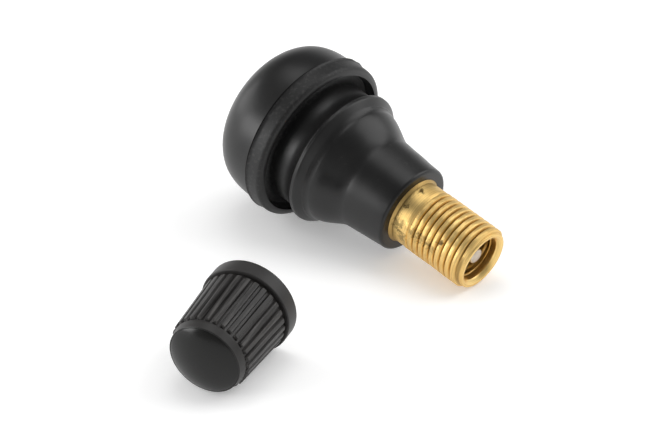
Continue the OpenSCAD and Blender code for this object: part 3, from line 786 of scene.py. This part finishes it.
def make_cap():
    flange_r, groove_r = CAP_FLANGE_R - CAP_FLANGE_ROUND, RIB_END_R - RIB_H
    barrel_l, ring_at = RIB_END_AT - CAP_FLANGE_W, RIB_END_AT + END_GROOVE_W
    dome_h, dome_steps = CAP_L - CAP_DOME_AT, 24
    outside = [(0, CAP_BORE_R + CAP_MOUTH_CHAMFER)]
    outside += corner(0, flange_r, CAP_FLANGE_ROUND, CAP_FLANGE_ROUND)
    outside += corner(CAP_FLANGE_W, flange_r, -CAP_FLANGE_ROUND, CAP_FLANGE_ROUND)[::-1]
    # The barrel's rings lie closer together where the ribs start and end
    lead = RIB_AT - CAP_FLANGE_W
    stations = [0, lead / 2] + [lead + s * RIB_SOFT for s in (0, 0.5, 1, 2)]
    shares = [s / barrel_l for s in stations]
    shares += [between(shares[-1], RIB_END_SHARES[0], i / RIB_RINGS) for i in range(1, RIB_RINGS + 1)]
    shares += RIB_END_SHARES[1:]
    outside += [(between(CAP_FLANGE_W, RIB_END_AT, x), between(RIB_R - RIB_H, groove_r, x)) for x in shares]
    outside += [(ring_at, groove_r)]
    outside += corner(ring_at, CAP_RING_R - CAP_RING_ROUND, CAP_RING_ROUND, CAP_RING_ROUND, 4)
    outside += straight(outside[-1], (CAP_DOME_AT - CAP_EDGE_L, CAP_EDGE_R), 8)
    outside += [(CAP_DOME_AT, CAP_EDGE_IN_R)]
    shares = [math.cos(math.pi / 2 * i / dome_steps) for i in range(dome_steps)]
    outside += [(CAP_DOME_AT + dome_h * dome_height(x, dome_h / CAP_DOME_R), CAP_DOME_R * x) for x in shares]
    outside += [(CAP_L, 0.0)]
    inside = [(CAP_BORE_L, 0.0), (CAP_BORE_L, CAP_BORE_R)]
    inside += straight(inside[-1], (CAP_MOUTH_CHAMFER, CAP_BORE_R), 60)
    piece = turned("ribbed_cap", outside + inside + [outside[0]], 16 * RIBS, closed=False)
    reshape(piece, ribbed_cap)
    return finish(piece, CAP, "valve", CAP_PLASTIC, "dust_cap")


# Studio

def make_floor():
    bpy.ops.object.select_all(action="DESELECT")
    bpy.ops.mesh.primitive_plane_add(size=3.0, location=(0, 0, cad_box[0].z))
    floor = bpy.context.object
    floor.name = "studio_floor"
    material, tree, shader = new_material("floor_white")
    shader.inputs["Base Color"].default_value = (0.92, 0.92, 0.92, 1)
    shader.inputs["Roughness"].default_value = 0.7
    shader.inputs["Specular IOR Level"].default_value = 0.1
    shader.inputs["Emission Color"].default_value = (1, 1, 1, 1)
    path = add(tree, "ShaderNodeLightPath")
    coords = add(tree, "ShaderNodeTexCoord")
    away = add(tree, "ShaderNodeVectorMath", operation="LENGTH")
    seen = larger(tree, path.outputs["Is Camera Ray"], path.outputs["Is Glossy Ray"])
    glow = ranged(tree, away.outputs["Value"], FLOOR_GLOW, FAR_GLOW, GLOW_FROM, GLOW_TO)
    link(tree, (coords.outputs["Object"], away.inputs[0]),
         (product(tree, glow, seen), shader.inputs["Emission Strength"]))
    floor.data.materials.append(material)


def make_light(name, place, target, size, power):
    """A softbox that faces the target."""
    lamp = bpy.data.lights.new(name, "AREA")
    lamp.shape = "RECTANGLE"
    lamp.size, lamp.size_y = size
    lamp.energy = power
    light = bpy.data.objects.new(name, lamp)
    bpy.context.collection.objects.link(light)
    light.location = place
    light.rotation_euler = (Vector(target) - Vector(place)).to_track_quat("-Z", "Y").to_euler()


def make_world(towards):
    """White round the object, with less light from above and from the camera's side in what it mirrors."""
    world = bpy.data.worlds.new("studio")
    bpy.context.scene.world = world
    world.use_nodes = True
    tree = world.node_tree
    ambient = tree.nodes["Background"]
    ambient.inputs["Color"].default_value = (1, 1, 1, 1)
    ambient.inputs["Strength"].default_value = AMBIENT
    white = add(tree, "ShaderNodeBackground")
    white.inputs["Strength"].default_value = 1.0
    coords = add(tree, "ShaderNodeTexCoord")
    height = add(tree, "ShaderNodeSeparateXYZ")
    path = add(tree, "ShaderNodeLightPath")
    facing = add(tree, "ShaderNodeVectorMath", operation="DOT_PRODUCT")
    facing.inputs[1].default_value = towards
    link(tree, (coords.outputs["Generated"], height.inputs["Vector"]),
         (coords.outputs["Generated"], facing.inputs[0]))
    above = ranged(tree, height.outputs["Z"], 0.0, 1.0, ABOVE_FROM, ABOVE_TO)
    front = ranged(tree, facing.outputs["Value"], 0.0, FRONT_SHARE, FRONT_FROM, FRONT_TO)
    dark = product(tree, larger(tree, above, front), path.outputs["Is Glossy Ray"])
    seen = larger(tree, path.outputs["Is Camera Ray"], path.outputs["Is Glossy Ray"])
    shown = larger(tree, seen, path.outputs["Is Transmission Ray"])
    mix = add(tree, "ShaderNodeMixShader")
    link(tree, (mixed(tree, dark, (1, 1, 1), (DIM, DIM, DIM)), white.inputs["Color"]),
         (shown, mix.inputs["Fac"]), (ambient.outputs["Background"], mix.inputs[1]),
         (white.outputs["Background"], mix.inputs[2]),
         (mix.outputs["Shader"], tree.nodes["World Output"].inputs["Surface"]))


def make_studio():
    bpy.context.scene.view_settings.view_transform = "Standard"
    mouth = VALVE.to_translation()
    target = Vector((mouth.x + VIEW_ALONG * MM, mouth.y + VIEW_ACROSS * MM, cad_box[0].z))
    azimuth, elevation = math.radians(VIEW_AZIMUTH), math.radians(VIEW_ELEVATION)
    towards = Vector((math.sin(azimuth), -math.cos(azimuth), 0))
    right = Vector((math.cos(azimuth), math.sin(azimuth), 0))
    up = Vector((0, 0, 1))
    back = towards * math.cos(elevation) + up * math.sin(elevation)
    lens = bpy.data.cameras.new("photo_camera")
    lens.lens = VIEW_LENS
    lens.clip_start, lens.clip_end = 0.01, 10.0
    camera = bpy.data.objects.new("photo_camera", lens)
    bpy.context.collection.objects.link(camera)
    camera.location = target + back * VIEW_DISTANCE * MM
    camera.rotation_euler = (-back).to_track_quat("-Z", "Y").to_euler()
    bpy.context.scene.camera = camera
    make_floor()
    make_world(towards)
    for name, (along, nearer, high), size, power in SOFTBOXES:
        make_light(name, target + right * along + towards * nearer + up * high, target, size, power)


def dress(node, material):
    """Gives a solid that keeps its form its finish."""
    slots = frame["nodes"][node].data.materials
    slots.clear()
    slots.append(material)


make_studio()
make_rubber_body()
make_stem()
make_pin()
make_spring()
make_cap()
for core_node in ("core_plug", "core_barrel", "pin_collar", "plunger_cup"):
    dress(core_node, CORE_BRASS)
dress("barrel_gasket", GASKET)
dress("plunger_seal", SEAL_RUBBER)
